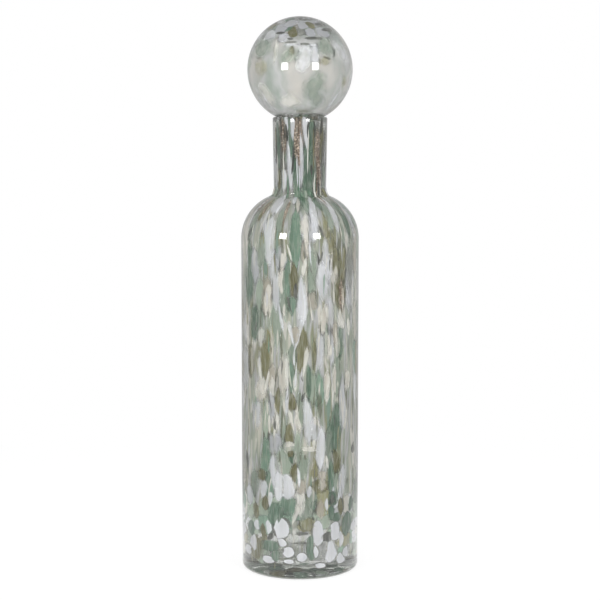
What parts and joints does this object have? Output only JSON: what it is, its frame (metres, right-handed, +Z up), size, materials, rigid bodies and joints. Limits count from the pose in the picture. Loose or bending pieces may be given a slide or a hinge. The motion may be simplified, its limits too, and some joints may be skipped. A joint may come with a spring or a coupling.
{
  "type": "stopper bottle",
  "caption": "Tall straight-sided blown-glass bottle with a round shoulder and short neck, closed by a hollow ball stopper on a stem, with coloured glass chips in its wall.",
  "frame": {"origin": "middle of the foot, on the surface that the bottle stands on", "axes": "+Z up along the axis of the bottle and its stopper; the object is round, so +X and +Y are free"},
  "size_m": [0.1, 0.1, 0.4706],
  "materials": {
    "bottle_glass": "clear, fire-polished, thick at the foot",
    "stopper_glass": "clear, fire-polished, thin",
    "white_chips": "milk-white chips in the wall",
    "sage_chips": "grey-green chips in the wall",
    "teal_chips": "green chips in the wall",
    "olive_chips": "olive chips in the wall",
    "copper_chips": "brown chips with copper glitter in the wall"
  },
  "bodies": {
    "bottle": {"bottle": "bottle_glass"},
    "stopper": {"stopper": "stopper_glass"}
  },
  "joints": [
    {"name": "stopper_lift", "type": "slide", "parent": "bottle", "child": "stopper", "axis": [0, 0, 1], "range_m": [0, 0.06]}
  ]
}
